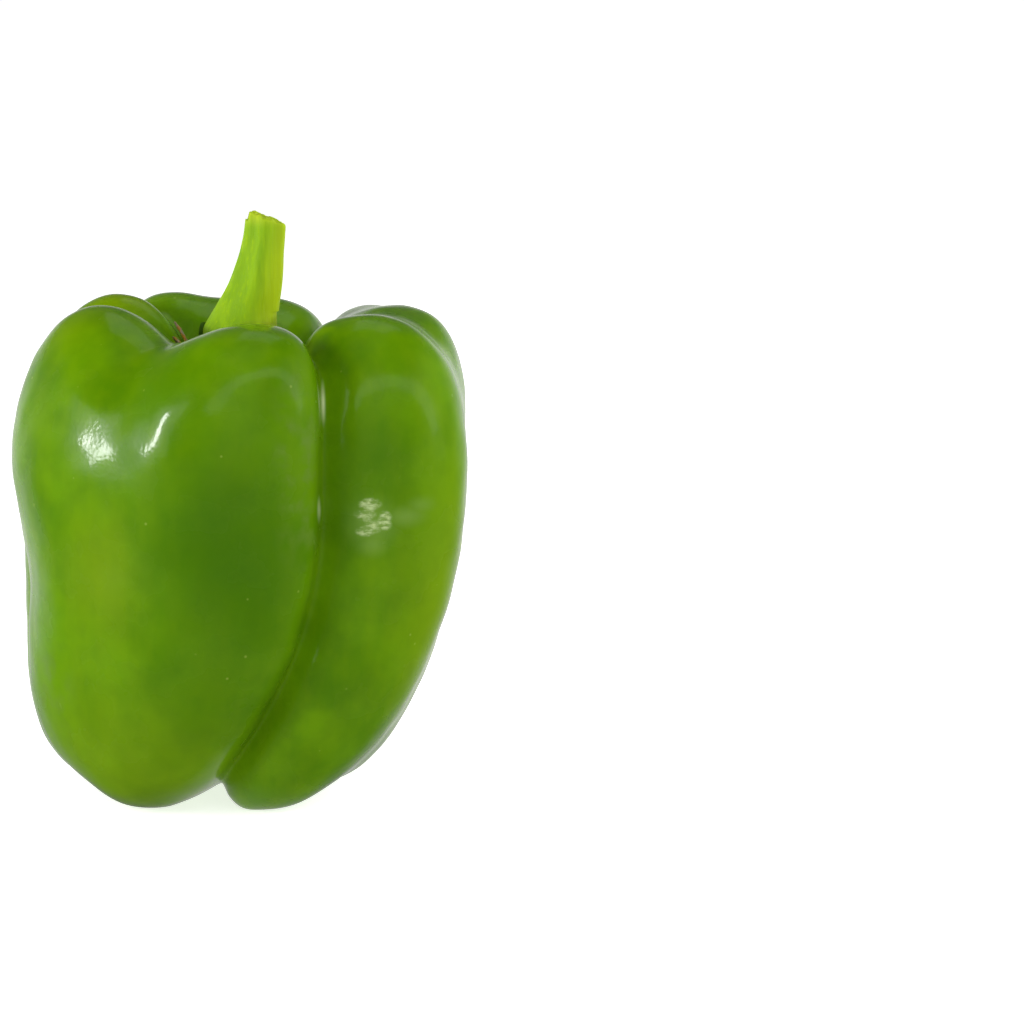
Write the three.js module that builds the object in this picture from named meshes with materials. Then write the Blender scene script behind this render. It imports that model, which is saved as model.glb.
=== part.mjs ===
// A green bell pepper as picked. The fruit stands on four feet, and a ribbed stem rises out of the hollow
// at its crown, where the stem spreads into a calyx. Millimetres, +Z up, and the face shown looks towards -Y.
import * as THREE from "three";

// Driving dimensions of the fruit.
const FOOT = -0.4; // how low the feet would reach before they are pressed flat at z = 0
const FOLD_RADIUS = 1; // rounding of the deep folds between carpels
const FOLD_DEPTH = 1.9; // how far a fold cuts in below the place where its two carpels meet
const FOLD_WIDTH = 2.2;
const FOLD_FADE = [2, 20]; // heights between which the folds come in above the feet
const CORE_BLEND = 5; // rounding where the lobes meet the middle of the fruit
const AXIS_FOOT = [-5, 0]; // the axis leans, from here at the foot
const AXIS_CROWN = [1.5, 0]; // to here at the crown
const AXIS_TOP = 92;

const radians = THREE.MathUtils.degToRad;

// The fruit is made of carpels, each one or more lobes that swell together. A lobe is an upright swelling.
// Its middle line runs from foot to belly to crown (x, y, z), it is widest at the belly, and the two powers
// say how blunt its ends are. A flattened lobe is wider along the wall than it is thick: its spread is the
// wider half, and it faces an azimuth in degrees, from the front to the right.
const lobe = (foot, belly, crown, radius, footPower, crownPower, spread = radius, facing = 0) => ({
  foot,
  belly,
  crown,
  radius,
  footPower,
  crownPower,
  flatness: radius / spread,
  facing: radians(facing),
});
const LEFT_AND_FRONT = {
  blend: 5,
  lobes: [
    lobe([-19.9, -8, 2.2], [-22, -7.5, 63], [-24.8, -4, 90.8], 17.7, 6, 1.58, 24, -56),
    lobe([-17.2, -10, FOOT], [-3.7, -14.5, 58], [2.5, -23, 89.3], 23.3, 2.75, 2.2),
  ],
};
const RIGHT = {
  blend: 6,
  lobes: [
    lobe([2.8, -14.5, -0.8], [21.3, -13, 64], [23, -13.5, 90], 16.5, 3.4, 2.2, 19.7, -4),
    lobe([14, -4, 2.5], [24.6, 3, 72], [29.3, 3, 89.8], 17, 4, 1.9),
    lobe([13, 3, 4], [21, 12, 62], [25, 16, 88.4], 15.5, 4, 2.2),
  ],
};
const BACK = {
  blend: 9,
  lobes: [
    lobe([3, 12, FOOT], [5, 17, 58], [5, 22, 89.2], 20.5, 2.6, 2.3),
    lobe([-5, 13, 4], [-9, 18, 58], [-14.5, 21, 91.2], 19.3, 3, 2.4),
  ],
};
const BACK_LEFT = {
  blend: 1,
  lobes: [lobe([-19.8, 7, FOOT], [-20.5, 9, 60], [-20.8, 14, 91.8], 20.9, 7, 1.8)],
};
const CARPELS = [LEFT_AND_FRONT, RIGHT, BACK, BACK_LEFT];
const CORE = lobe([-5, 0, 8], [0, 0, 45], [1.5, 0, 78], 24, 3, 4);

// Shallow hollows in the walls: the deepest place (x, y, z), how far each spreads, and its depth.
const DENTS = [{ at: [-41, -8, 41], spread: 15, depth: 2.8 }];

// The skin is found by casting rays from inside the flesh. Their roots run out from the axis at the foot, up
// the walls and back to the axis under the crown, and their tilt turns from straight down to straight up.
const RAYS = [
  { reach: 0, level: 16, tilt: -90, rows: 0 },
  { reach: 9, level: 16, tilt: -90, rows: 4 },
  { reach: 12, level: 18, tilt: 0, rows: 11 },
  { reach: 18, level: 70, tilt: 0, rows: 14 },
  { reach: 20, level: 73, tilt: 120, rows: 14 },
  { reach: 0, level: 60, tilt: 90, rows: 6 },
];
const RAY_STEP = 1.5;
const HALVINGS = 26;

// Where the fold after each carpel is looked for, in degrees from the front to the right, and how many
// columns of faces lie between it and the fold before. They crowd towards the folds, where the skin turns in.
const FOLDS = [
  { from: 0, to: 60, columns: 30 },
  { from: 90, to: 165, columns: 28 },
  { from: 185, to: 230, columns: 22 },
  { from: 240, to: 290, columns: 16 },
];
const FOLD_CROWDING = 0.6;

// Driving dimensions of the stem, a shaft that leans to the right as it rises, and of the calyx at its foot.
const SHAFT = [
  { at: [0.5, 0.3, 86.3], radius: 6.9 },
  { at: [1.2, 0.3, 89], radius: 5.9 },
  { at: [3, 0, 94], radius: 4.8 },
  { at: [4.2, 0, 99.5], radius: 3.9 },
  { at: [5, 0, 104.5], radius: 3.5 },
];
const SHAFT_SIDES = 30;
const SHAFT_STEP = 1.2; // height of one ring of faces
const RIBS = 5;
const RIB_HEIGHT = 0.35;
const CUT_RISE = 2.4; // how far the cut end stands above the last ring of the shaft at its highest
const CUT_SLOPE = 0.35; // how fast it falls away on both sides of its ridge
const CUT_RIDGE = -0.5; // place of the ridge across the shaft
const CALYX_MIDDLE = [-0.2, 0.5];
const CALYX_RADIUS = 10.5;
const CALYX_POINTS = 6;
const CALYX_POINT_LENGTH = 1.3;
const CALYX_THICKNESS = 1.3;
const CALYX_GAP = 0.3; // clearance to the skin of the hollow
const CALYX_BRIDGE = 3.5; // the calyx passes straight over the folds, as a rounding of this width would
const CALYX_UNDER = [0.25, 0.5, 0.75, 1]; // shares of the radius at which its rings lie, underneath
const CALYX_OVER = [0.98, 0.87, 0.76]; // and on top

const mix = (a, b, t) => a + (b - a) * t;

// The smaller of two distances, with the corner between them rounded over a width of k.
function blendOf(a, b, k) {
  const h = Math.max(k - Math.abs(a - b), 0) / k;
  return Math.min(a, b) - (h * h * h * k) / 6;
}

// The place along a line, between a step that lies inside the field and one outside it, where its skin is.
function skinBetween(field, inside, outside) {
  for (let i = 0; i < HALVINGS; i++) {
    const middle = (inside + outside) / 2;
    if (field(middle) < 0) inside = middle;
    else outside = middle;
  }
  return outside;
}

// About the distance in millimetres from a point to a lobe's skin, negative inside it.
function lobeField(l, [x, y, z]) {
  const above = z > l.belly[2];
  const end = above ? l.crown : l.foot;
  const u = Math.min((z - l.belly[2]) / (end[2] - l.belly[2]), 1.4);
  const aside = x - mix(l.belly[0], end[0], u * u);
  const behind = y - mix(l.belly[1], end[1], u * u);
  const across = Math.hypot(
    aside * Math.sin(l.facing) - behind * Math.cos(l.facing),
    (aside * Math.cos(l.facing) + behind * Math.sin(l.facing)) * l.flatness,
  );
  const cap = u ** (above ? l.crownPower : l.footPower);
  return (Math.sqrt((across / l.radius) ** 2 + cap) - 1) * l.radius;
}

const carpelField = (carpel, p) =>
  carpel.lobes.map((l) => lobeField(l, p)).reduce((a, b) => blendOf(a, b, carpel.blend));

function dentDepth(dent, p) {
  const away = Math.hypot(...p.map((c, k) => c - dent.at[k])) / dent.spread;
  return dent.depth * Math.exp(-away * away);
}

// How much deeper the skin lies in the fold between the two nearest carpels.
function foldDepth(carpels, height) {
  const [nearest, next] = [...carpels].sort((a, b) => a - b);
  const share = THREE.MathUtils.smoothstep(height, ...FOLD_FADE);
  return FOLD_DEPTH * share * Math.exp(-(((next - nearest) / FOLD_WIDTH) ** 2));
}

function fruitField(p) {
  const carpels = CARPELS.map((c) => carpelField(c, p));
  const lobes = carpels.reduce((a, b) => blendOf(a, b, FOLD_RADIUS)) + foldDepth(carpels, p[2]);
  const flesh = blendOf(lobes, lobeField(CORE, p), CORE_BLEND);
  return DENTS.reduce((field, dent) => field + dentDepth(dent, p), flesh);
}

// The point where a ray of the fan leaves the flesh. Azimuth 0 is the front, and it grows to the right.
function skinPoint(ray, azimuth) {
  const lean = ray.level / AXIS_TOP;
  const outward = [Math.sin(azimuth), -Math.cos(azimuth)];
  const root = [
    mix(AXIS_FOOT[0], AXIS_CROWN[0], lean) + outward[0] * ray.reach,
    mix(AXIS_FOOT[1], AXIS_CROWN[1], lean) + outward[1] * ray.reach,
    ray.level,
  ];
  const tilt = radians(ray.tilt);
  const way = [outward[0] * Math.cos(tilt), outward[1] * Math.cos(tilt), Math.sin(tilt)];
  const at = (t) => root.map((r, k) => r + way[k] * t);
  let far = RAY_STEP;
  while (fruitField(at(far)) < 0) far += RAY_STEP;
  return at(skinBetween((t) => fruitField(at(t)), far - RAY_STEP, far));
}

// The rays of every row from the foot to the crown.
function fanRows() {
  const rows = [RAYS[0]];
  for (let s = 1; s < RAYS.length; s++)
    for (let i = 1; i <= RAYS[s].rows; i++) {
      const t = i / RAYS[s].rows;
      rows.push({
        reach: mix(RAYS[s - 1].reach, RAYS[s].reach, t),
        level: mix(RAYS[s - 1].level, RAYS[s].level, t),
        tilt: mix(RAYS[s - 1].tilt, RAYS[s].tilt, t),
      });
    }
  return rows;
}

// The azimuth at which the skin of one row passes from one carpel to the next, which is where the fold lies.
function foldAzimuth(ray, before, after, from, to) {
  const lead = (azimuth) => {
    const p = skinPoint(ray, azimuth);
    return carpelField(before, p) - carpelField(after, p);
  };
  return skinBetween(lead, from, to);
}

const crowded = (t) => t - (FOLD_CROWDING * Math.sin(2 * Math.PI * t)) / (2 * Math.PI);

function fruitGeometry() {
  const rows = fanRows();
  const rings = rows.slice(1, -1).map((ray) => {
    const folds = FOLDS.map((f, k) =>
      foldAzimuth(ray, CARPELS[k], CARPELS[(k + 1) % CARPELS.length], radians(f.from), radians(f.to)),
    );
    const ring = [];
    FOLDS.forEach((f, k) => {
      const start = k ? folds[k - 1] : folds[folds.length - 1] - 2 * Math.PI;
      for (let i = 0; i < f.columns; i++)
        ring.push(skinPoint(ray, mix(start, folds[k], crowded(i / f.columns))));
    });
    return ring;
  });
  return closedGrid(skinPoint(rows[0], 0), rings, skinPoint(rows[rows.length - 1], 0));
}

// A closed mesh of rings of points between a lower and an upper pole. The points of a ring run to the right
// as seen from the front.
function closedGrid(low, rings, high) {
  const n = rings[0].length;
  const points = [low, ...rings.flat(), high];
  const at = (row, column) => 1 + row * n + (column % n);
  const faces = [];
  for (let c = 0; c < n; c++) {
    faces.push(0, at(0, c + 1), at(0, c));
    for (let r = 0; r + 1 < rings.length; r++) {
      faces.push(at(r, c), at(r, c + 1), at(r + 1, c + 1));
      faces.push(at(r, c), at(r + 1, c + 1), at(r + 1, c));
    }
    faces.push(points.length - 1, at(rings.length - 1, c), at(rings.length - 1, c + 1));
  }
  const geometry = new THREE.BufferGeometry();
  geometry.setAttribute(
    "position",
    new THREE.Float32BufferAttribute(points.flatMap(([x, y, z]) => [x, y, Math.max(z, 0)]), 3),
  );
  geometry.setIndex(faces);
  geometry.computeVertexNormals();
  return geometry;
}

// How far a place is from the bowl that the calyx lies in: the hollow with its folds bridged.
function bowlField(p) {
  const walls = [...CARPELS.map((c) => carpelField(c, p)), lobeField(CORE, p)];
  return walls.reduce((a, b) => blendOf(a, b, CALYX_BRIDGE));
}

// The height of that bowl at a place in the hollow.
function bowlHeight(x, y) {
  const field = (z) => bowlField([x, y, z]);
  let low = AXIS_TOP;
  while (field(low) > 0) low -= RAY_STEP;
  return skinBetween(field, low, low + RAY_STEP);
}

// A ring of points round a middle, where the radius and height are functions of the azimuth and place.
function ringOf(middle, radiusAt, heightAt) {
  return Array.from({ length: SHAFT_SIDES }, (_, i) => {
    const azimuth = (2 * Math.PI * i) / SHAFT_SIDES;
    const x = middle[0] + Math.sin(azimuth) * radiusAt(azimuth);
    const y = middle[1] - Math.cos(azimuth) * radiusAt(azimuth);
    return [x, y, heightAt(x, y)];
  });
}

// A ring of the calyx at a share of its radius, raised above the bowl.
const calyxRing = (share, raised) =>
  ringOf(
    CALYX_MIDDLE,
    (azimuth) => (CALYX_RADIUS + Math.cos(CALYX_POINTS * azimuth) * CALYX_POINT_LENGTH) * share,
    (x, y) => bowlHeight(x, y) + raised,
  );

const shaftRing = ([x, y, z], radius) =>
  ringOf([x, y], (azimuth) => radius + RIB_HEIGHT * Math.cos(RIBS * azimuth), () => z);

// The stem and its calyx are one solid of stacked rings, from under the calyx to the cut end.
function stemGeometry() {
  const under = CALYX_UNDER.map((share) => calyxRing(share, CALYX_GAP));
  const over = CALYX_OVER.map((share) => calyxRing(share, CALYX_GAP + CALYX_THICKNESS));
  const line = new THREE.CatmullRomCurve3(SHAFT.map((s) => new THREE.Vector3(...s.at)));
  const steps = Math.round(line.getLength() / SHAFT_STEP);
  const shaft = Array.from({ length: steps + 1 }, (_, i) => {
    const t = (i / steps) * (SHAFT.length - 1);
    const k = Math.min(Math.floor(t), SHAFT.length - 2);
    const radius = mix(SHAFT[k].radius, SHAFT[k + 1].radius, t - k);
    return shaftRing(line.getPoint(i / steps).toArray(), radius);
  });
  const [endX, endY, endZ] = SHAFT[SHAFT.length - 1].at;
  const cutHeight = (x) => endZ + CUT_RISE - CUT_SLOPE * Math.abs(x - endX - CUT_RIDGE);
  const cut = shaft.pop().map(([x, y]) => [x, y, cutHeight(x)]);
  return closedGrid(
    [...CALYX_MIDDLE, bowlHeight(...CALYX_MIDDLE) + CALYX_GAP],
    [...under, ...over, ...shaft, cut],
    [endX, endY, cutHeight(endX)],
  );
}

const skin = new THREE.MeshStandardMaterial({ color: 0x4f8a0e, roughness: 0.25, metalness: 0 });
const fruit = new THREE.Mesh(fruitGeometry(), skin);
fruit.name = "fruit";

const stalk = new THREE.MeshStandardMaterial({ color: 0x98c414, roughness: 0.6, metalness: 0 });
const stem = new THREE.Mesh(stemGeometry(), stalk);
stem.name = "stem";

// The origin is on the ground under the middle of the pepper.
const pepper = new THREE.Group();
pepper.add(fruit, stem);
const middle = new THREE.Box3().setFromObject(pepper).getCenter(new THREE.Vector3());
pepper.position.set(-middle.x, -middle.y, 0);
export default pepper;
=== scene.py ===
"""Looks of a green bell pepper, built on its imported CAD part.

The fruit and its stem are smooth copies of their CAD solids, with the fine waves, pores and fibres of the
real things, and the dry tips of the calyx are modelled here. Sizes are in metres, but the places, patches
and patterns of a material are in millimetres. Colours are written as they look on a screen, from 0 to 255,
and turned into light by srgb().
"""

from __future__ import annotations

import logging
import math
from collections.abc import Callable
from dataclasses import dataclass, field
from enum import Enum

import bmesh
import bpy
from mathutils import Euler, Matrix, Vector, noise

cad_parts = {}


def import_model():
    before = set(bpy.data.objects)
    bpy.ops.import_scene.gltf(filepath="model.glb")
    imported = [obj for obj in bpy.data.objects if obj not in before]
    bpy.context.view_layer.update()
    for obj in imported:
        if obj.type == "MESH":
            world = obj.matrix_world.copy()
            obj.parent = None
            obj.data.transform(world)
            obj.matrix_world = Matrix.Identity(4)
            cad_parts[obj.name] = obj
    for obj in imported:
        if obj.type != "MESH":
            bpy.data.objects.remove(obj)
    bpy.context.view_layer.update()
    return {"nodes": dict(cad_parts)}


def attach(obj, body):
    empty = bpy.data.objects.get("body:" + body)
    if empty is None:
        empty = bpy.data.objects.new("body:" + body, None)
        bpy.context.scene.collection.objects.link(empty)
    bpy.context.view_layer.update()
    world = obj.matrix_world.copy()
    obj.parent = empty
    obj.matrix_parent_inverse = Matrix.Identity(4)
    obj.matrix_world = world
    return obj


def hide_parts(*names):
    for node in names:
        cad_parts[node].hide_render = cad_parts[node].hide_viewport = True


MM = 0.001
BODY = "root"

Node = bpy.types.Node
Socket = bpy.types.NodeSocket
Colour = tuple[float, float, float, float]
Pair = tuple[float, float]
Triple = tuple[float, float, float]
Value = float | tuple[float, ...] | Socket
# The middle of a patch of the surface, how far it reaches along x, y and z, and how strong it is.
Patch = tuple[Triple, Triple, float]

log = logging.getLogger("bell pepper")


def srgb(red: float, green: float, blue: float) -> Colour:
    """Turns a screen colour into linear light, by the curve of the sRGB standard.

    Args:
        red: Red from 0 to 255.
        green: Green from 0 to 255.
        blue: Blue from 0 to 255.

    Returns:
        The colour as Blender's sockets take it, with full alpha.
    """
    linear = [
        c / 12.92 if c <= 0.04045 else ((c + 0.055) / 1.055) ** 2.4
        for c in (red / 255, green / 255, blue / 255)
    ]
    return (linear[0], linear[1], linear[2], 1.0)


class Slot(Enum):
    """The material slots of the part's record."""

    SKIN = "skin"
    STALK = "stalk"


class Recipe:
    """Adds nodes to one node tree and joins them, so that a finish reads from top to bottom."""

    PER_ROW = 12
    COLUMN_STEP = 200
    ROW_STEP = -260
    # The numbers of the sockets that a mix node has for colours.
    MIX_SHARE, MIX_FIRST, MIX_SECOND, MIX_RESULT = 0, 6, 7, 2

    def __init__(self, tree: bpy.types.NodeTree) -> None:
        """Starts a recipe in a tree."""
        self.tree = tree
        self.count = 0

    def add(
        self, kind: str, inputs: dict[str | int, Value] | None = None, **settings: object
    ) -> Node:
        """Adds one node.

        Args:
            kind: Blender's name for the node type.
            inputs: Values or sockets for its inputs, by name or number.
            **settings: Its other properties.

        Returns:
            The new node.
        """
        node = self.tree.nodes.new(kind)
        row, column = divmod(self.count, self.PER_ROW)
        node.location = (self.COLUMN_STEP * column, self.ROW_STEP * row)
        self.count += 1
        for name, value in settings.items():
            setattr(node, name, value)
        for key, value in (inputs or {}).items():
            if isinstance(value, Socket):
                self.tree.links.new(value, node.inputs[key])
            else:
                node.inputs[key].default_value = value
        return node

    def math(self, operation: str, first: Value, second: Value = 0.0) -> Socket:
        """Adds a math node and returns its result."""
        return self.add("ShaderNodeMath", {0: first, 1: second}, operation=operation).outputs[0]

    def vector(self, operation: str, first: Value, second: Value) -> Socket:
        """Adds a vector math node of two vectors and returns the vector that comes out."""
        return self.add("ShaderNodeVectorMath", {0: first, 1: second}, operation=operation).outputs[0]

    def measure(self, operation: str, first: Value, second: Value = (0.0, 0.0, 0.0)) -> Socket:
        """Adds a vector math node and returns the number that comes out."""
        node = self.add("ShaderNodeVectorMath", {0: first, 1: second}, operation=operation)
        return node.outputs["Value"]

    def noise(self, place: Value, size: float, detail: float = 2.0, rough: float = 0.5) -> Socket:
        """Adds a noise.

        Args:
            place: The coordinates, in millimetres.
            size: How large its patches are, in millimetres.
            detail: How many finer layers it has.
            rough: How strong the finer layers are.

        Returns:
            Its value, about 0.5 on average.
        """
        inputs = {"Vector": place, "Scale": 1 / size, "Detail": detail, "Roughness": rough}
        return self.add("ShaderNodeTexNoise", inputs).outputs["Fac"]

    def spread(
        self, value: Value, low: float, high: float, start: float = 0.0, end: float = 1.0
    ) -> Socket:
        """Turns one range of values into another, smoothly and without leaving it.

        Args:
            value: The value.
            low: What becomes start. It may be above high.
            high: What becomes end.
            start: Where the new range starts.
            end: Where the new range ends.

        Returns:
            The new value.
        """
        inputs = {"Value": value, "From Min": low, "From Max": high, "To Min": start, "To Max": end}
        node = self.add("ShaderNodeMapRange", inputs, interpolation_type="SMOOTHSTEP")
        return node.outputs["Result"]

    def mix(self, share: Value, first: Value, second: Value) -> Socket:
        """Lays a share of the second colour over the first and returns the colour that comes out."""
        inputs = {self.MIX_SHARE: share, self.MIX_FIRST: first, self.MIX_SECOND: second}
        return self.add("ShaderNodeMix", inputs, data_type="RGBA").outputs[self.MIX_RESULT]

    def lay(self, colour: Value, tint: Value, mask: Value, strength: float) -> Socket:
        """Lays a tint over a colour where the mask shows it, and returns the colour that comes out."""
        return self.mix(self.math("MULTIPLY", mask, strength), colour, tint)

    def near(self, place: Value, middle: Triple, reach: Triple) -> Socket:
        """Marks a soft-edged patch of the surface.

        Args:
            place: The coordinates, in millimetres.
            middle: The middle of the patch.
            reach: How far it reaches along x, y and z.

        Returns:
            1 in the middle of the patch and 0 outside it.
        """
        away = self.vector("DIVIDE", self.vector("SUBTRACT", place, middle), reach)
        return self.spread(self.measure("LENGTH", away), 1.0, 0.0)

    def joined(self, place: Value, patches: tuple[Patch, ...]) -> Value:
        """Joins soft-edged patches into one mask.

        Args:
            place: The coordinates, in millimetres.
            patches: The patches.

        Returns:
            How strong the strongest patch is at each place.
        """
        whole: Value = 0.0
        for middle, reach, share in patches:
            spot = self.math("MULTIPLY", self.near(place, middle, reach), share)
            whole = self.math("MAXIMUM", spot, whole)
        return whole

    def bump(
        self, height: Value, depth: float, strength: float, normal: Socket | None = None
    ) -> Socket:
        """Turns a height of 0 to 1 into a normal.

        Args:
            height: The height.
            depth: What a height of 1 stands for, in metres.
            strength: How much of it shows.
            normal: A normal to lay it over.

        Returns:
            The new normal.
        """
        inputs = {"Height": height, "Distance": depth, "Strength": strength}
        if normal is not None:
            inputs["Normal"] = normal
        return self.add("ShaderNodeBump", inputs).outputs["Normal"]

    def end(self, shader: Socket) -> None:
        """Gives the material the shader as its surface."""
        self.add("ShaderNodeOutputMaterial", {"Surface": shader})


@dataclass(frozen=True)
class Pattern:
    """A noise and the part of its range that shows, with its size in millimetres.

    As a mask it is 0 where the noise is at low or less, and 1 where it is at high or more.
    """

    size: float
    low: float = 0.3
    high: float = 0.7
    detail: float = 3.0
    rough: float = 0.5
    stretch: Triple | None = None

    def noise(self, recipe: Recipe, place: Socket) -> Socket:
        """Adds the noise.

        Args:
            recipe: The material's recipe.
            place: The coordinates, in millimetres.

        Returns:
            Its value, about 0.5 on average.
        """
        if self.stretch is not None:
            place = recipe.vector("MULTIPLY", place, self.stretch)
        return recipe.noise(place, self.size, self.detail, self.rough)

    def mask(self, recipe: Recipe, place: Socket, start: float = 0.0, end: float = 1.0) -> Socket:
        """Adds the noise and returns it as a mask, with start and end in place of 0 and 1."""
        return recipe.spread(self.noise(recipe, place), self.low, self.high, start, end)


def effect(
    name: str, inputs: dict[str, float], outputs: list[str], fill: Callable[[Recipe, Node, Node], None]
) -> bpy.types.NodeTree:
    """Makes a node group that finishes can share, once.

    Args:
        name: Its name.
        inputs: Its inputs besides Place, with their usual values.
        outputs: The names of its outputs, all single values.
        fill: What adds its nodes, given the recipe and its input and output nodes.

    Returns:
        The group's tree.
    """
    if name in bpy.data.node_groups:
        return bpy.data.node_groups[name]
    tree = bpy.data.node_groups.new(name, "ShaderNodeTree")
    tree.interface.new_socket("Place", in_out="INPUT", socket_type="NodeSocketVector")
    for key, usual in inputs.items():
        tree.interface.new_socket(key, in_out="INPUT", socket_type="NodeSocketFloat").default_value = usual
    for key in outputs:
        tree.interface.new_socket(key, in_out="OUTPUT", socket_type="NodeSocketFloat")
    recipe = Recipe(tree)
    fill(recipe, recipe.add("NodeGroupInput"), recipe.add("NodeGroupOutput"))
    return tree


def pores(recipe: Recipe, given: Node, result: Node) -> None:
    """Fills the group of the fine grain of plant skin: close-set soft pimples of uneven height.

    Args:
        recipe: The group's recipe.
        given: The group's input node.
        result: The group's output node.
    """
    place = given.outputs["Place"]
    scale = recipe.math("DIVIDE", 1.0, given.outputs["Size"])
    cells = recipe.add("ShaderNodeTexVoronoi", {"Vector": place, "Scale": scale}, feature="F1")
    uneven = recipe.add("ShaderNodeTexNoise", {"Vector": place, "Scale": scale, "Detail": 1.5})
    height = recipe.math("SUBTRACT", uneven.outputs["Fac"], cells.outputs["Distance"])
    recipe.tree.links.new(height, result.inputs["Height"])


def freckles(recipe: Recipe, given: Node, result: Node) -> None:
    """Fills the group of tiny scattered dots, of which most places have none.

    Args:
        recipe: The group's recipe.
        given: The group's input node.
        result: The group's output node.
    """
    scale = recipe.math("DIVIDE", 1.0, given.outputs["Spacing"])
    inputs = {"Vector": given.outputs["Place"], "Scale": scale}
    cells = recipe.add("ShaderNodeTexVoronoi", inputs, feature="F1")
    reach = recipe.math("DIVIDE", given.outputs["Size"], given.outputs["Spacing"])
    inside = recipe.math("SUBTRACT", reach, cells.outputs["Distance"])
    soft = recipe.math("MULTIPLY", inside, recipe.math("DIVIDE", 2.0, reach))
    chance = recipe.add("ShaderNodeSeparateColor", {"Color": cells.outputs["Color"]})
    chosen = recipe.math("LESS_THAN", chance.outputs[0], given.outputs["Share"])
    clipped = recipe.add("ShaderNodeClamp", {"Value": soft}).outputs[0]
    recipe.tree.links.new(recipe.math("MULTIPLY", clipped, chosen), result.inputs["Mask"])


def grain(recipe: Recipe, place: Socket, size: float) -> Socket:
    """Adds the fine grain of plant skin.

    Args:
        recipe: The material's recipe.
        place: The coordinates, in millimetres.
        size: How far apart its pimples are, in millimetres.

    Returns:
        Its height.
    """
    group = effect("pores", {"Size": 1.0}, ["Height"], pores)
    node = recipe.add("ShaderNodeGroup", {"Place": place, "Size": size}, node_tree=group)
    return node.outputs["Height"]


def new_material(name: str) -> tuple[bpy.types.Material, Recipe, Socket]:
    """Starts a material.

    Args:
        name: Its name.

    Returns:
        The material, a recipe in its empty tree, and its coordinates in millimetres.
    """
    material = bpy.data.materials.new(name)
    material.use_nodes = True
    material.node_tree.nodes.clear()
    recipe = Recipe(material.node_tree)
    place = recipe.add("ShaderNodeTexCoord").outputs["Object"]
    scaled = recipe.add("ShaderNodeVectorMath", {"Vector": place, "Scale": 1 / MM}, operation="SCALE")
    return material, recipe, scaled.outputs[0]


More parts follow.
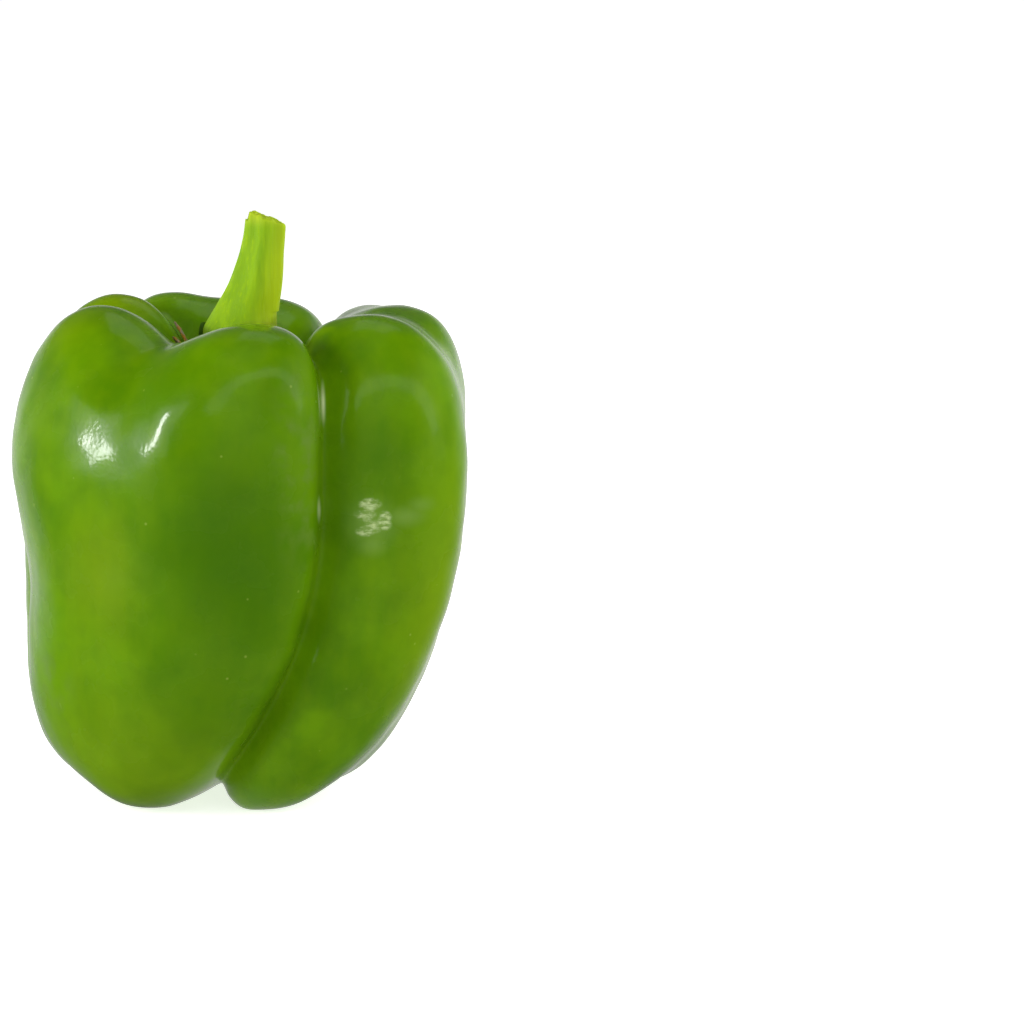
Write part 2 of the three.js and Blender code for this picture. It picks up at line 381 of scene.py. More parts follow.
@dataclass(frozen=True)
class SkinFinish:
    """The waxy skin of the fruit, in several greens, with pores, pale dots and a clear gloss."""

    name: str = "pepper_skin"
    green: Colour = srgb(108, 158, 4)
    # A deep green: the skin's own darker clouds and mottles, and also the painted shade of the patches
    # below.
    dark: Colour = srgb(72, 122, 2)
    # A yellow green: the skin's own faint streaks, and also the painted light of the patches below and of
    # the stalk's right side.
    yellow_and_painted_light: Colour = srgb(134, 170, 8)
    pale: Colour = srgb(176, 200, 90)
    # A whitish green, painted in as glints of light in the small crinkled patch and as thin highlights along
    # the fold.
    painted_glint_colour: Colour = srgb(216, 234, 168)
    # A greyish pale green, painted in as a hazy reflection round those glints.
    painted_haze_tint: Colour = srgb(148, 184, 90)
    # A greyish green, painted in mottles as a sheen where the skin mirrors light.
    painted_sheen: Colour = srgb(120, 152, 60)
    roughness: Pair = (0.2, 0.3)
    gloss: float = 0.16
    coat: float = 0.5
    coat_roughness: float = 0.11
    flesh: float = 0.15
    flesh_light: Triple = (0.6, 1.0, 0.1)
    flesh_depth: float = 1.5 * MM
    pore_size: float = 0.75
    pore_depth: float = 0.02 * MM
    pore_strength: float = 0.4
    dot_spacing: float = 4.2
    dot_size: float = 0.32
    dot_chance: float = 0.3
    dot_strength: float = 0.5
    painted_haze_strength: float = 0.6
    glint_strength: float = 0.8
    wax: Pattern = Pattern(9)
    clouds: Pattern = Pattern(13, 0.36, 0.66)
    cloud_strength: float = 0.5
    streaks: Pattern = Pattern(4.2, 0.35, 0.68, detail=4, rough=0.6, stretch=(1.0, 1.0, 0.25))
    streak_strength: float = 0.2
    mottles: Pattern = Pattern(4.6, 0.42, 0.7, rough=0.6)
    mottle_strength: float = 0.16
    crinkles: Pattern = Pattern(1.6, 0.08, 0.36, rough=0.6)
    strokes: Pattern = Pattern(0.75, 0.36, 0.62, rough=0.55, stretch=(0.55, 0.55, 1.3))
    faintest_stroke: float = 0.15
    # The small crinkled patch on the right lobe, whose pale crinkles are painted glints of light.
    glint_patch_spots: tuple[Patch, ...] = (
        ((22.4, -29.5, 58.0), (3.2, 6, 1.8), 1.0),
        ((21.6, -29.5, 56.2), (3.6, 6, 2.4), 0.6),
        ((24.9, -29.5, 55.0), (2.2, 6, 2.8), 1.0),
        ((23.0, -29.5, 54.2), (3.2, 6, 2.4), 0.65),
        ((21.6, -29.5, 53.4), (3.0, 6, 1.6), 0.9),
    )
    # Painted reflection: a soft whitish haze round the painted glints.
    painted_haze_spots: tuple[Patch, ...] = (
        ((22.7, -29.5, 54.6), (6.5, 8, 6.5), 0.7),
        ((28.4, -27.0, 55.6), (5.5, 8, 2.8), 0.7),
        ((31.2, -26.0, 57.4), (3.8, 8, 2.4), 0.5),
        ((22.7, -29.5, 51.0), (4.2, 8, 3.2), 0.6),
    )
    # Painted highlights: thin pale lines along the fold between the front and right lobes, where light
    # glints.
    painted_fold_highlights: tuple[Patch, ...] = (
        ((14.4, -25, 75.4), (0.6, 8, 4.8), 0.9),
        ((13.4, -25, 57.1), (0.55, 8, 3.2), 1.0),
    )
    # Painted shade: the skin is darkened where shade falls, on the front, in the fold and on the right lobe.
    painted_shades: tuple[Patch, ...] = (
        ((-3, -36, 50), (24, 30, 36), 0.9),
        ((-14, -30, 78), (14, 20, 14), 0.5),
        ((-9, -34, 22), (18, 20, 16), 0.4),
        ((17, -28, 60), (6, 14, 24), 0.5),
        ((24, -28, 68), (8, 16, 12), 0.55),
        ((16, -28, 25), (7, 14, 6), 0.4),
    )
    # Painted light: the skin is lightened where light falls, on the left lobe, the right side and the
    # back-left crown.
    painted_light_spots: tuple[Patch, ...] = (
        ((-24, -26, 46), (12, 16, 18), 0.6),
        ((-20, -20, 12), (26, 30, 24), 0.5),
        ((36, -14, 34), (16, 30, 50), 0.8),
        ((-23, 10, 90), (16, 14, 8), 0.9),
        ((-29, -6, 86), (12, 12, 9), 0.6),
    )
    # Painted sheen: greyish mottles beside the fold and low on the left, where the skin mirrors light.
    painted_sheens: tuple[Patch, ...] = (
        ((8.5, -32, 66), (5, 12, 26), 0.7),
        ((12, -32, 62), (3, 12, 30), 0.6),
        ((-35, -20, 22), (7, 16, 16), 0.5),
    )

    def material(self) -> bpy.types.Material:
        """Builds the material.

        Returns:
            The material.
        """
        material, recipe, place = new_material(self.name)
        colour = self._dots(recipe, place, self._greens(recipe, place))
        normal = recipe.bump(grain(recipe, place, self.pore_size), self.pore_depth, self.pore_strength)
        # Painted reflection: a whitish haze laid over the greens.
        painted_haze = recipe.joined(place, self.painted_haze_spots)
        colour = recipe.lay(colour, self.painted_haze_tint, painted_haze, self.painted_haze_strength)
        # Painted glints: the pale crinkles of the small patch on the right lobe.
        colour = recipe.lay(colour, self.painted_glint_colour, self._painted_glints(recipe, place), self.glint_strength)
        # Painted highlights: thin pale lines along the fold.
        colour = recipe.mix(recipe.joined(place, self.painted_fold_highlights), colour, self.painted_glint_colour)
        shader = recipe.add(
            "ShaderNodeBsdfPrincipled",
            {
                "Base Color": colour,
                "Roughness": self.wax.mask(recipe, place, *self.roughness),
                "Specular IOR Level": self.gloss,
                "Coat Weight": self.coat,
                "Coat Roughness": self.coat_roughness,
                "Subsurface Weight": self.flesh,
                "Subsurface Radius": self.flesh_light,
                "Subsurface Scale": self.flesh_depth,
                "Normal": normal,
                "Coat Normal": normal,
            },
        )
        recipe.end(shader.outputs[0])
        return material

    def _greens(self, recipe: Recipe, place: Socket) -> Socket:
        """Mixes the greens: clouds, faint upright streaks and mottles, then the large patches of painted
        shade, painted light and painted sheen.

        Args:
            recipe: The material's recipe.
            place: The coordinates, in millimetres.

        Returns:
            The colour.
        """
        clouds = self.clouds.mask(recipe, place)
        streaks = self.streaks.mask(recipe, place)
        mottles = self.mottles.mask(recipe, place)
        colour = recipe.lay(self.green, self.dark, clouds, self.cloud_strength)
        colour = recipe.lay(colour, self.yellow_and_painted_light, streaks, self.streak_strength)
        colour = recipe.lay(colour, self.dark, mottles, self.mottle_strength)
        # Painted shade and painted light, patch by patch.
        for patches, tint in ((self.painted_shades, self.dark), (self.painted_light_spots, self.yellow_and_painted_light)):
            for middle, reach, share in patches:
                colour = recipe.lay(colour, tint, recipe.near(place, middle, reach), share)
        # Painted sheen, broken up by the mottles.
        for middle, reach, share in self.painted_sheens:
            painted_sheen = recipe.math("MULTIPLY", recipe.near(place, middle, reach), mottles)
            colour = recipe.lay(colour, self.painted_sheen, painted_sheen, share)
        return colour

    def _painted_glints(self, recipe: Recipe, place: Socket) -> Socket:
        """Marks the painted glints: the pale crinkles of the small patch on the right lobe, painted in as
        glints of light.

        Args:
            recipe: The material's recipe.
            place: The coordinates, in millimetres.

        Returns:
            How pale the skin is there.
        """
        patch = recipe.joined(place, self.glint_patch_spots)
        uneven = recipe.math("MULTIPLY", self.crinkles.noise(recipe, place), patch)
        strokes = self.strokes.mask(recipe, place, self.faintest_stroke)
        pale = recipe.spread(uneven, self.crinkles.low, self.crinkles.high)
        return recipe.math("MULTIPLY", pale, strokes)

    def _dots(self, recipe: Recipe, place: Socket, colour: Socket) -> Socket:
        """Lays the tiny pale dots of the skin over its greens.

        Args:
            recipe: The material's recipe.
            place: The coordinates, in millimetres.
            colour: The greens.

        Returns:
            The colour with its dots.
        """
        group = effect("freckles", {"Spacing": 4.0, "Size": 0.3, "Share": 0.3}, ["Mask"], freckles)
        inputs = {
            "Place": place,
            "Spacing": self.dot_spacing,
            "Size": self.dot_size,
            "Share": self.dot_chance,
        }
        dots = recipe.add("ShaderNodeGroup", inputs, node_tree=group)
        return recipe.lay(colour, self.pale, dots.outputs["Mask"], self.dot_strength)


@dataclass(frozen=True)
class StalkFinish:
    """The stalk: yellow green and matt, with lengthwise fibres and a paler, drier cut end.

    A collar round its foot is darkened as painted shade, its right side is lightened as painted light, and
    the outermost rim of the calyx has dried.
    """

    name: str = "pepper_stalk"
    green: Colour = srgb(160, 206, 4)
    groove: Colour = srgb(144, 192, 3)
    fibre: Colour = srgb(190, 222, 18)
    cut: Colour = srgb(198, 220, 36)
    # Painted light: the yellow green laid over the right side of the stalk, where light falls on it.
    yellow_and_painted_light: Colour = srgb(194, 214, 16)
    # Painted shade: the dark green of the collar down in the hollow round the stem.
    painted_shade: Colour = srgb(70, 104, 10)
    dry: Colour = srgb(128, 104, 70)
    lengthwise: Triple = (1.0, 1.0, 0.06)
    fibres: Pattern = Pattern(0.55, 0.5, 0.72, detail=5, rough=0.65)
    fibre_strength: float = 0.7
    bands: Pattern = Pattern(2.2, 0.38, 0.6, detail=2)
    lean: float = 0.2
    lean_from: float = -16.6
    lean_over: float = 5.0
    painted_light_strength: float = 0.7
    cut_from: float = 104.0
    cut_over: float = 2.5
    cut_strength: float = 0.75
    rags: Pattern = Pattern(2.5)
    collar: Pair = (6.6, 8.0)
    collar_top: float = 89.0
    collar_over: float = 2.0
    dry_rim: Pair = (10.9, 11.6)
    grain_size: float = 0.35
    grain_depth: float = 0.03 * MM
    grain_strength: float = 0.5
    fibre_depth: float = 0.35 * MM
    fibre_bump: float = 0.8
    matt_range: Pair = (0.3, 0.7)
    roughness: Pair = (0.47, 0.67)
    gloss: float = 0.25
    flesh: float = 0.2
    flesh_light: Triple = (0.7, 1.0, 0.15)
    flesh_depth: float = 1.2 * MM

    def material(self) -> bpy.types.Material:
        """Builds the material.

        Returns:
            The material.
        """
        material, recipe, place = new_material(self.name)
        along = recipe.vector("MULTIPLY", place, self.lengthwise)
        fibres = self.fibres.noise(recipe, along)
        colour = recipe.mix(self.bands.mask(recipe, along), self.groove, self.green)
        shown = recipe.spread(fibres, self.fibres.low, self.fibres.high, 0.0, self.fibre_strength)
        colour = self._ends(recipe, place, recipe.mix(shown, colour, self.fibre))
        normal = recipe.bump(grain(recipe, place, self.grain_size), self.grain_depth, self.grain_strength)
        normal = recipe.bump(fibres, self.fibre_depth, self.fibre_bump, normal)
        shader = recipe.add(
            "ShaderNodeBsdfPrincipled",
            {
                "Base Color": colour,
                "Roughness": recipe.spread(fibres, *self.matt_range, *self.roughness),
                "Specular IOR Level": self.gloss,
                "Subsurface Weight": self.flesh,
                "Subsurface Radius": self.flesh_light,
                "Subsurface Scale": self.flesh_depth,
                "Normal": normal,
            },
        )
        recipe.end(shader.outputs[0])
        return material

    def _ends(self, recipe: Recipe, place: Socket, colour: Socket) -> Socket:
        """Colours the right side lighter as painted light, the cut end, the collar darker as painted shade,
        and the dry rim.

        Args:
            recipe: The material's recipe.
            place: The coordinates, in millimetres.
            colour: The colour of the fibres.

        Returns:
            The whole colour.
        """
        height = recipe.add("ShaderNodeSeparateXYZ", {0: place}).outputs["Z"]
        # Painted light: the right side of the stalk, past a line that leans with it, is lightened.
        across = recipe.measure("DOT_PRODUCT", place, (1.0, 0.0, -self.lean))
        lean_to = self.lean_from + self.lean_over
        side = recipe.spread(across, self.lean_from, lean_to, 0.0, self.painted_light_strength)
        colour = recipe.mix(side, colour, self.yellow_and_painted_light)
        cut_to = self.cut_from + self.cut_over
        end = recipe.spread(height, self.cut_from, cut_to, 0.0, self.cut_strength)
        colour = recipe.mix(end, colour, self.cut)
        level = recipe.vector("MULTIPLY", place, (1.0, 1.0, 0.0))
        ragged = recipe.math("ADD", recipe.measure("LENGTH", level), self.rags.noise(recipe, place))
        # Painted shade: the collar round the stem's foot, low in the hollow, is darkened.
        low = recipe.spread(height, self.collar_top, self.collar_top - self.collar_over)
        painted_shade = recipe.math("MULTIPLY", recipe.spread(ragged, *self.collar), low)
        colour = recipe.mix(painted_shade, colour, self.painted_shade)
        return recipe.mix(recipe.spread(ragged, *self.dry_rim), colour, self.dry)


@dataclass(frozen=True)
class DryFinish:
    """The withered tips of the calyx: brown and grey, with an orange tinge, matt and wrinkled."""

    name: str = "dry_calyx"
    brown: Colour = srgb(206, 144, 56)
    grey: Colour = srgb(178, 158, 138)
    # Painted shade: a dark brown laid into the hollows of the wrinkles.
    painted_crease_shade: Colour = srgb(70, 50, 26)
    patches: Pattern = Pattern(1.6, 0.4, 0.62)
    wrinkles: Pattern = Pattern(0.4, 0.35, 0.7, detail=4, rough=0.6)
    crease_shade_strength: float = 0.35
    crease_depth: float = 0.25 * MM
    crease_bump: float = 0.9
    roughness: float = 0.75
    gloss: float = 0.25

    def material(self) -> bpy.types.Material:
        """Builds the material.

        Returns:
            The material.
        """
        material, recipe, place = new_material(self.name)
        wrinkles = self.wrinkles.noise(recipe, place)
        colour = recipe.mix(self.patches.mask(recipe, place), self.brown, self.grey)
        # Painted shade: darker where the wrinkles are low, in their hollows.
        crease_shade = recipe.spread(wrinkles, self.wrinkles.low, self.wrinkles.high, self.crease_shade_strength, 0.0)
        colour = recipe.mix(crease_shade, colour, self.painted_crease_shade)
        shader = recipe.add(
            "ShaderNodeBsdfPrincipled",
            {
                "Base Color": colour,
                "Roughness": self.roughness,
                "Specular IOR Level": self.gloss,
                "Normal": recipe.bump(wrinkles, self.crease_depth, self.crease_bump),
            },
        )
        recipe.end(shader.outputs[0])
        return material


@dataclass(frozen=True)
class FloorFinish:
    """The pale floor. The skin mirrors it bright behind the pepper and dark in front of it."""

    name: str = "studio_floor"
    seen: float = 0.9
    speckle: float = 0.02
    specks: Pattern = Pattern(60)
    cast: float = 0.6
    mirrored_front: float = 0.03
    mirrored_back: float = 0.9
    back_from: float = 0.3
    back_to: float = 1.1
    core: float = 5.0
    feet: float = 30.0
    glow: float = 0.72
    glow_from: float = 80.0
    glow_to: float = 400.0

    def material(self) -> bpy.types.Material:
        """Builds the material.

        Returns:
            The material.
        """
        material, recipe, place = new_material(self.name)
        speck = self.specks.mask(recipe, place, self.seen - self.speckle, self.seen)
        tone = recipe.add("ShaderNodeCombineColor", {0: speck, 1: speck, 2: speck}).outputs[0]
        paper = recipe.add("ShaderNodeBsdfDiffuse", {"Color": tone}).outputs[0]
        away = recipe.measure("LENGTH", place)
        # Painted light: to the eye the floor glows, less near the pepper so its shadow shows, and fully far
        # off, where the lamps fall short.
        glow = recipe.spread(away, self.glow_from, self.glow_to, self.glow, 1.0)
        light = recipe.add("ShaderNodeEmission", {"Strength": glow}).outputs[0]
        lit = recipe.add("ShaderNodeAddShader", {0: paper, 1: light}).outputs[0]
        bounced = recipe.add("ShaderNodeEmission", {"Strength": self.cast}).outputs[0]
        mirrored = recipe.add("ShaderNodeEmission", {"Strength": self._mirrored(recipe, place)}).outputs[0]
        ray = recipe.add("ShaderNodeLightPath")
        glossy, eye = ray.outputs["Is Glossy Ray"], ray.outputs["Is Camera Ray"]
        cast = recipe.add("ShaderNodeMixShader", {0: glossy, 1: bounced, 2: mirrored}).outputs[0]
        recipe.end(recipe.add("ShaderNodeMixShader", {0: eye, 1: cast, 2: lit}).outputs[0])
        return material

    def _mirrored(self, recipe: Recipe, place: Socket) -> Socket:
        """Works out how bright the floor is in a mirror, from how far behind the feet it is.

        Args:
            recipe: The material's recipe.
            place: The coordinates, in millimetres.

        Returns:
            The brightness.
        """
        from_feet = recipe.vector("ADD", place, (0.0, self.feet, 0.0))
        reach = recipe.measure("LENGTH", from_feet)
        depth = recipe.add("ShaderNodeSeparateXYZ", {0: from_feet}).outputs["Y"]
        share = recipe.math("DIVIDE", depth, recipe.math("ADD", reach, self.core))
        return recipe.spread(share, self.back_from, self.back_to, self.mirrored_front, self.mirrored_back)


class Hand:
    """The steps that a modeller would take by hand on one mesh object."""

    WELD = 0.001 * MM
    ANY_ANGLE = math.pi
    EASE = 0.5

    @staticmethod
    def take(piece: bpy.types.Object) -> None:
        """Makes a piece the only one selected, and the active one.

        Args:
            piece: The object.
        """
        bpy.ops.object.select_all(action="DESELECT")
        piece.select_set(True)
        bpy.context.view_layer.objects.active = piece

    @staticmethod
    def copy_of(node: bpy.types.Object, name: str) -> bpy.types.Object:
        """Copies a CAD node, joins its split points and turns its triangles into quads.

        Args:
            node: The CAD node's object.
            name: The name of the copy.

        Returns:
            The copy.
        """
        piece = bpy.data.objects.new(name, node.data.copy())
        piece.data.name = name
        bpy.context.scene.collection.objects.link(piece)
        Hand.take(piece)
        bpy.ops.object.mode_set(mode="EDIT")
        bpy.ops.mesh.select_all(action="SELECT")
        bpy.ops.mesh.customdata_custom_splitnormals_clear()
        bpy.ops.mesh.remove_doubles(threshold=Hand.WELD)
        bpy.ops.mesh.tris_convert_to_quads(face_threshold=Hand.ANY_ANGLE, shape_threshold=Hand.ANY_ANGLE)
        bpy.ops.object.mode_set(mode="OBJECT")
        return piece

    @staticmethod
    def smooth(piece: bpy.types.Object, levels: int, settle: int = 0) -> None:
        """Rounds a piece by subdivision, evens it out and shades it smoothly.

        Args:
            piece: The object.
            levels: How often its faces are divided.
            settle: How often its points are then moved towards their neighbours.
        """
        Hand.take(piece)
        rounding = piece.modifiers.new("rounding", "SUBSURF")
        rounding.levels = levels
        bpy.ops.object.modifier_apply(modifier=rounding.name)
        if settle:
            ease = piece.modifiers.new("ease", "SMOOTH")
            ease.factor = Hand.EASE
            ease.iterations = settle
            bpy.ops.object.modifier_apply(modifier=ease.name)
        bpy.ops.object.shade_smooth()

    @staticmethod
    def ripple(piece: bpy.types.Object, size: float, depth: float) -> None:
        """Gives a piece soft waves.

        Args:
            piece: The object.
            size: How long a wave is.
            depth: How far the highest wave stands above the deepest.
        """
        Hand.take(piece)
        waves = bpy.data.textures.new(f"{piece.name}_waves", "CLOUDS")
        waves.noise_scale = size
        waves.noise_depth = 1
        push = piece.modifiers.new("waves", "DISPLACE")
        push.texture = waves
        push.texture_coords = "LOCAL"
        push.strength = depth
        push.mid_level = 0.5
        bpy.ops.object.modifier_apply(modifier=push.name)

    @staticmethod
    def dress(piece: bpy.types.Object, material: bpy.types.Material, slot: Slot) -> None:
        """Gives a piece its material, and lets it ride on the pepper's only body.

        Args:
            piece: The object.
            material: What it looks like.
            slot: Its slot in the record; not used.
        """
        piece.data.materials.clear()
        piece.data.materials.append(material)
        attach(piece, BODY)
        log.info("%s: %d faces", piece.name, len(piece.data.polygons))


@dataclass
class Fruit:
    """The fruit: a smooth copy of its CAD solid, with the slight waves of a grown wall."""

    node: bpy.types.Object
    finish: SkinFinish = field(default_factory=SkinFinish)
    levels: int = 2
    settle: int = 24
    wave_size: float = 9 * MM
    wave_depth: float = 0.5 * MM

    def build(self) -> bpy.types.Object:
        """Builds and dresses the fruit.

        Returns:
            The fruit.
        """
        piece = Hand.copy_of(self.node, "fruit_skin")
        Hand.smooth(piece, self.levels, self.settle)
        Hand.ripple(piece, self.wave_size, self.wave_depth)
        self._stand(piece)
        Hand.dress(piece, self.finish.material(), Slot.SKIN)
        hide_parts("fruit")
        return piece

    @staticmethod
    def _stand(piece: bpy.types.Object) -> None:
        """Presses what the waves push below the ground back onto it."""
        for vertex in piece.data.vertices:
            vertex.co.z = max(vertex.co.z, 0.0)


@dataclass
class Stem:
    """The stem and its calyx: a smooth copy of the CAD solid, with a cut end that is torn where it broke.

    Seen from the front, the end has a low step at the left, then its peak, and falls away to the right.
    The CAD solid has a plain ridge there instead, which falls to both sides.
    """

    node: bpy.types.Object
    finish: StalkFinish = field(default_factory=StalkFinish)
    levels: int = 3
    rim_above: float = 104.6 * MM
    rim_facing: float = 0.7
    rim_crease: float = 0.9
    torn_from: float = 102.5 * MM
    torn_to: float = 105.0 * MM
    step_at: float = 2.0 * MM
    step_drop: float = 1.2 * MM
    peak_at: float = 3.1 * MM
    slope: float = 0.42
    cad_ridge: float = 4.45 * MM
    cad_slope: float = 0.35
    rag_size: float = 0.9 * MM
    rag_depth: float = 0.35 * MM
    collar_below: float = 89.0 * MM
    collar_from: float = 6.6 * MM
    collar_kept: float = 0.3

    def build(self) -> bpy.types.Object:
        """Builds and dresses the stem.

        Returns:
            The stem.
        """
        piece = Hand.copy_of(self.node, "stem_body")
        self._sharpen(piece)
        Hand.smooth(piece, self.levels)
        self._tear(piece)
        self._tuck(piece)
        Hand.dress(piece, self.finish.material(), Slot.STALK)
        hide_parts("stem")
        return piece

    def _sharpen(self, piece: bpy.types.Object) -> None:
        """Keeps the rim of the cut end sharp when the stem is rounded.

        Args:
            piece: The stem.
        """
        sheet = bmesh.new()
        sheet.from_mesh(piece.data)
        crease = sheet.edges.layers.float.new("crease_edge")
        cap = {face for face in sheet.faces if self._is_cut(face)}
        for edge in sheet.edges:
            on_rim = sum(face in cap for face in edge.link_faces) == 1
            edge[crease] = self.rim_crease if on_rim else 0.0
        log.info("%s: %d faces in the cut", piece.name, len(cap))
        sheet.to_mesh(piece.data)
        sheet.free()

    def _is_cut(self, face: bmesh.types.BMFace) -> bool:
        """Tells whether a face belongs to the cut end."""
        return face.calc_center_median().z > self.rim_above and face.normal.z > self.rim_facing

    def _tear(self, piece: bpy.types.Object) -> None:
        """Moves the points near the cut end to its torn outline.

        Args:
            piece: The stem.
        """
        for vertex in piece.data.vertices:
            x, _, z = vertex.co
            share = min(max((z - self.torn_from) / (self.torn_to - self.torn_from), 0.0), 1.0)
            if share == 0.0:
                continue
            smooth_cut = -self.cad_slope * abs(x - self.cad_ridge)
            torn = -self.slope * max(x - self.peak_at, 0.0)
            if x < self.step_at:
                torn -= self.step_drop
            ragged = noise.noise(vertex.co / self.rag_size) * self.rag_depth
            vertex.co.z += share * (torn - smooth_cut + ragged)

    def _tuck(self, piece: bpy.types.Object) -> None:
        """Draws the rim of the calyx in towards the stalk, as where its edge has withered.

        Args:
            piece: The stem.
        """
        for vertex in piece.data.vertices:
            reach = math.hypot(vertex.co.x, vertex.co.y)
            if vertex.co.z < self.collar_below and reach > self.collar_from:
                kept = (self.collar_from + (reach - self.collar_from) * self.collar_kept) / reach
                vertex.co.x *= kept
                vertex.co.y *= kept


@dataclass
class CalyxTips:
    """The dry, curled tips of the calyx, which lie on the wall of the hollow round the stem.

    The azimuths go round the stem, in degrees from the camera's side towards the right. The lengths of the
    tips and their sideways bends vary with their place in the row.
    """

    ground: bpy.types.Object
    finish: DryFinish = field(default_factory=DryFinish)
    middle: Pair = (-0.2 * MM, 0.5 * MM)
    start: float = 7.6 * MM
    length: float = 6.2 * MM
    length_swing: float = 0.18
    length_step: float = 3.1
    width: float = 4.4 * MM
    taper: float = 0.85
    taper_power: float = 1.6
    bend: float = 0.5 * MM
    bend_step: float = 2.3
    thickness: float = 0.45 * MM
    gap: float = 0.25 * MM
    curl: float = 0.9 * MM
    dropped_from: float = 100 * MM
    levels: int = 2
    wave_size: float = 1.2 * MM
    wave_depth: float = 0.4 * MM
    azimuths: tuple[float, ...] = (4, 58, 118, 182, 240, 272, 300)

    def build(self) -> bpy.types.Object:
        """Builds and dresses the tips as one piece.

        Returns:
            The tips.
        """
        parts = [self._tip(azimuth, number) for number, azimuth in enumerate(self.azimuths)]
        bpy.ops.object.select_all(action="DESELECT")
        for part in parts:
            part.select_set(True)
        bpy.context.view_layer.objects.active = parts[0]
        bpy.ops.object.join()
        piece = parts[0]
        piece.name = "calyx_tips"
        self._settle(piece)
        Hand.smooth(piece, self.levels)
        Hand.ripple(piece, self.wave_size, self.wave_depth)
        Hand.dress(piece, self.finish.material(), Slot.STALK)
        return piece

    def _tip(self, azimuth: float, number: int) -> bpy.types.Object:
        """Builds one flat pointed tip high above the hollow.

        Args:
            azimuth: Which way it points.
            number: Its place in the row, which sets its length and bend.

        Returns:
            The tip.
        """
        bpy.ops.mesh.primitive_grid_add(x_subdivisions=4, y_subdivisions=7, size=1.0)
        piece = bpy.context.object
        Hand.take(piece)
        bpy.ops.object.mode_set(mode="EDIT")
        bpy.ops.mesh.select_all(action="SELECT")
        long = self.length * (1.0 + self.length_swing * math.sin(self.length_step * number))
        bpy.ops.transform.resize(value=(self.width, long, 1.0))
        bpy.ops.object.mode_set(mode="OBJECT")
        bend = self.bend * math.sin(self.bend_step * number)
        for vertex in piece.data.vertices:
            along = min(max(vertex.co.y / long + 0.5, 0.0), 1.0)
            vertex.co.x *= 1.0 - self.taper * along**self.taper_power
            vertex.co.x += bend * along
        around = math.radians(azimuth)
        reach = self.start + long / 2
        piece.location = (
            self.middle[0] + math.sin(around) * reach,
            self.middle[1] - math.cos(around) * reach,
            self.dropped_from,
        )
        piece.rotation_euler = (0, 0, around + math.pi)
        Hand.take(piece)
        bpy.ops.object.transform_apply(location=True, rotation=True, scale=True)
        return piece

    def _settle(self, piece: bpy.types.Object) -> None:
        """Lays the tips down onto the wall, curls up those at the left and thickens them all.

        Args:
            piece: The tips.
        """
        Hand.take(piece)
        lay = piece.modifiers.new("lay", "SHRINKWRAP")
        lay.target = self.ground
        lay.wrap_method = "PROJECT"
        lay.use_project_z = True
        lay.use_negative_direction = True
        lay.use_positive_direction = False
        lay.offset = self.gap
        bpy.ops.object.modifier_apply(modifier=lay.name)
        for vertex in piece.data.vertices:
            reach = math.hypot(vertex.co.x - self.middle[0], vertex.co.y - self.middle[1])
            out = max(reach - self.start, 0.0) / self.length
            leftward = max(-vertex.co.x / reach, 0.0)
            vertex.co.z += self.curl * leftward * out**2
        body = piece.modifiers.new("body", "SOLIDIFY")
        body.thickness = self.thickness
        body.offset = 1.0
        bpy.ops.object.modifier_apply(modifier=body.name)


@dataclass(frozen=True)
class Softbox:
    """A flat soft light that faces the pepper.

    The direction is where it stands, seen from the pepper: azimuth from the camera's side towards the right,
    and elevation above the level, in degrees.
    """

    name: str
    azimuth: float
    elevation: float
    size: Pair
    brightness: float
    distance: float = 0.8
    turn: float = 0.0
    glossy: bool = True
    target: Triple = (0.0, -20 * MM, 55 * MM)

    def build(self) -> None:
        """Builds the light. Its power follows from its brightness and area."""
        light = bpy.data.lights.new(self.name, "AREA")
        light.shape = "RECTANGLE"
        light.size, light.size_y = self.size
        light.energy = self.brightness * math.pi * self.size[0] * self.size[1]
        lamp = bpy.data.objects.new(self.name, light)
        bpy.context.scene.collection.objects.link(lamp)
        around, up = math.radians(self.azimuth), math.radians(self.elevation)
        way = Vector((math.sin(around) * math.cos(up), -math.cos(around) * math.cos(up), math.sin(up)))
        lamp.location = Vector(self.target) + way * self.distance
        facing = way.to_track_quat("Z", "Y").to_euler().to_matrix()
        turned = facing @ Euler((0, 0, math.radians(self.turn))).to_matrix()
        lamp.rotation_euler = turned.to_euler()
        lamp.visible_camera = False
        lamp.visible_glossy = self.glossy


@dataclass(frozen=True)
class Arch:
    """A dim arch of soft light in front of the pepper, which its lobes mirror as soft arcs.

    The stops are directions as those of a softbox, and the arch runs from each to the next.
    """

    stops: tuple[Pair, ...] = (
        (-24, 20),
        (-10, 33),
        (14, 39),
        (38, 38),
        (58, 30),
        (74, 15),
        (80, 2),
    )
    width: float = 0.16
    brightness: float = 0.6
    distance: float = 0.8

    def boxes(self) -> list[Softbox]:
        """Splits the arch into softboxes.

        Returns:
            One softbox for each two stops that follow each other.
        """
        boxes = []
        for number, (start, end) in enumerate(zip(self.stops, self.stops[1:])):
            azimuth = (start[0] + end[0]) / 2
            elevation = (start[1] + end[1]) / 2
            along = (end[0] - start[0]) * math.cos(math.radians(elevation))
            up = end[1] - start[1]
            size = (math.radians(math.hypot(along, up)) * self.distance, self.width)
            turn = math.degrees(math.atan2(up, along))
            boxes.append(
                Softbox(f"arch_{number}", azimuth, elevation, size, self.brightness, self.distance, turn)
            )
        return boxes


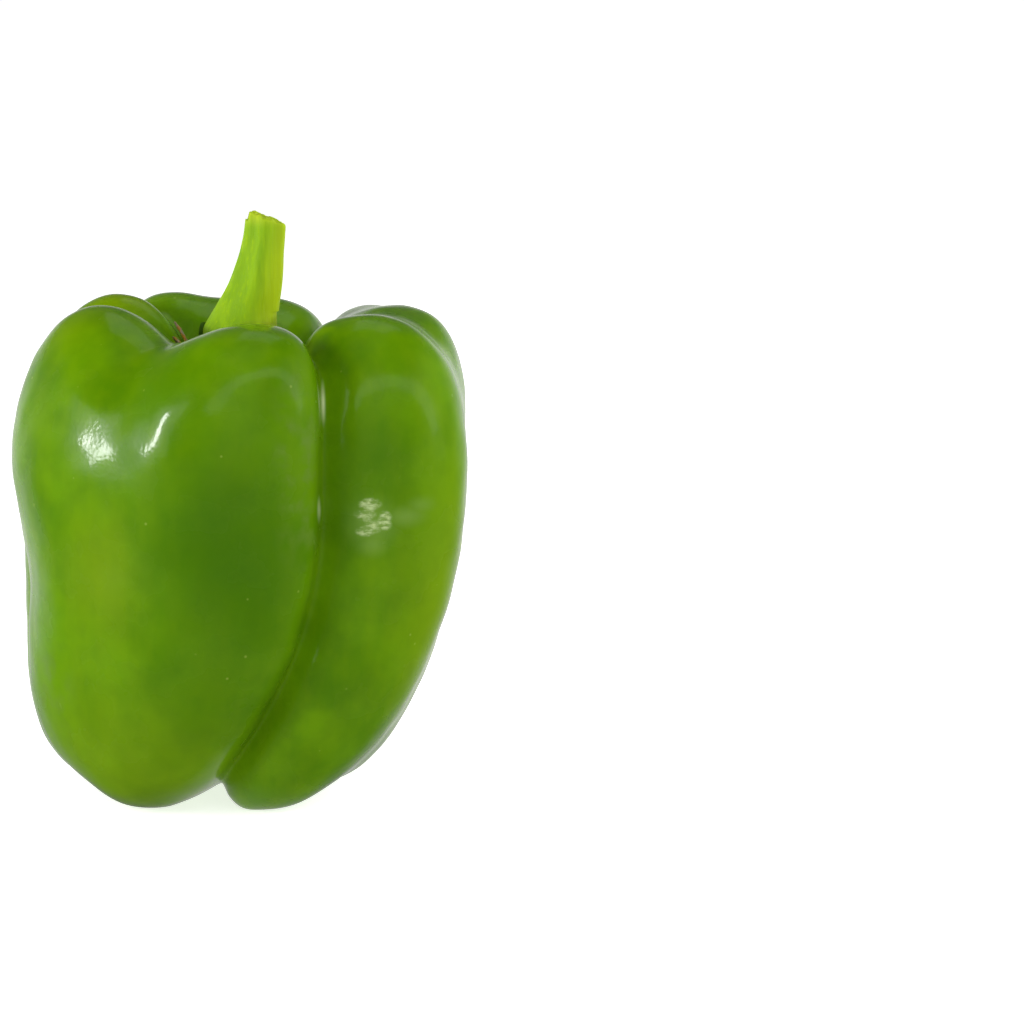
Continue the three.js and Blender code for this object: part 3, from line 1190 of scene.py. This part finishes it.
@dataclass(frozen=True)
class Surroundings:
    """What is round the pepper: white to the eye.

    As a light it is bright at the sides and the back, and dark towards the camera and above. The two
    ranges say over which part of a direction's depth and height it changes.
    """

    seen: float = 1.05
    brightest: float = 0.95
    back: Pair = (0.3, 1.1)
    above: Pair = (0.05, 0.38)
    sky: float = 0.12

    def build(self) -> None:
        """Builds the world of the scene."""
        world = bpy.data.worlds.new("studio")
        bpy.context.scene.world = world
        world.use_nodes = True
        world.node_tree.nodes.clear()
        recipe = Recipe(world.node_tree)
        way = recipe.add("ShaderNodeTexCoord").outputs["Generated"]
        split = recipe.add("ShaderNodeSeparateXYZ", {0: way})
        behind = recipe.spread(split.outputs["Y"], *self.back, 0.0, self.brightest)
        level = recipe.spread(split.outputs["Z"], *self.above, 1.0, self.sky)
        strength = recipe.math("MULTIPLY", behind, level)
        seen = recipe.add("ShaderNodeBackground", {"Strength": self.seen}).outputs[0]
        cast = recipe.add("ShaderNodeBackground", {"Strength": strength}).outputs[0]
        eye = recipe.add("ShaderNodeLightPath").outputs["Is Camera Ray"]
        both = recipe.add("ShaderNodeMixShader", {0: eye, 1: cast, 2: seen}).outputs[0]
        recipe.add("ShaderNodeOutputWorld", {"Surface": both})


@dataclass
class Studio:
    """The pale floor, the white surroundings and the soft lights."""

    floor_size: float = 60.0
    boxes: tuple[Softbox, ...] = (
        Softbox("key_panel", -66, 17, (0.46, 0.42), 0.85),
        Softbox("key_core", -68, 16.5, (0.055, 0.24), 38, distance=0.78, turn=-14),
        Softbox("right_panel", 80, -4, (0.3, 0.45), 0.1),
        Softbox("back_sheen", 165, 60, (0.42, 0.4), 0.35),
        Softbox("front_fill", 10, 20, (0.8, 0.8), 1.2, glossy=False),
        Softbox("left_fill", -80, 8, (0.6, 0.6), 1.9, glossy=False),
        Softbox("right_fill", 85, 20, (0.6, 0.6), 2.4, glossy=False),
        Softbox("back_left_fill", -125, 8, (0.6, 0.6), 3.0, glossy=False),
        Softbox("back_right_fill", 125, 10, (0.6, 0.6), 3.0, glossy=False),
        Softbox("top_fill", 0, 80, (0.6, 0.6), 0.9, glossy=False),
    )
    arch: Arch = field(default_factory=Arch)
    surroundings: Surroundings = field(default_factory=Surroundings)
    floor_finish: FloorFinish = field(default_factory=FloorFinish)

    def build(self) -> None:
        """Builds the floor, the surroundings and the lights, and sets how light becomes colour."""
        self._floor()
        self.surroundings.build()
        for box in (*self.boxes, *self.arch.boxes()):
            box.build()
        bpy.context.scene.view_settings.view_transform = "Standard"
        bpy.context.scene.view_settings.look = "None"

    def _floor(self) -> None:
        """Builds the floor."""
        bpy.ops.mesh.primitive_plane_add(size=self.floor_size)
        floor = bpy.context.object
        floor.name = "floor"
        floor.data.materials.append(self.floor_finish.material())


@dataclass(frozen=True)
class PhotoCamera:
    """The camera of the photograph, a long lens that looks slightly down. Its lens and sensor are in mm."""

    place: Triple = (-0.05 * MM, -617.92 * MM, 155.96 * MM)
    aim: Triple = (49.58 * MM, 0.0, 51.4 * MM)
    lens: float = 120.0
    sensor: float = 36.0

    def build(self) -> None:
        """Builds the camera and makes it the scene's own."""
        data = bpy.data.cameras.new("photo_camera")
        data.lens = self.lens
        data.sensor_width = self.sensor
        camera = bpy.data.objects.new("photo_camera", data)
        bpy.context.scene.collection.objects.link(camera)
        camera.location = self.place
        way = Vector(self.aim) - Vector(self.place)
        camera.rotation_euler = way.to_track_quat("-Z", "Y").to_euler()
        bpy.context.scene.camera = camera


def main() -> None:
    """Builds the pepper, its studio and the camera."""
    logging.basicConfig(level=logging.INFO, format="%(name)s: %(message)s")
    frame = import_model()
    PhotoCamera().build()
    fruit = Fruit(frame["nodes"]["fruit"]).build()
    Stem(frame["nodes"]["stem"]).build()
    CalyxTips(fruit).build()
    Studio().build()
    log.info("finished")


if __name__ == "__main__":
    main()
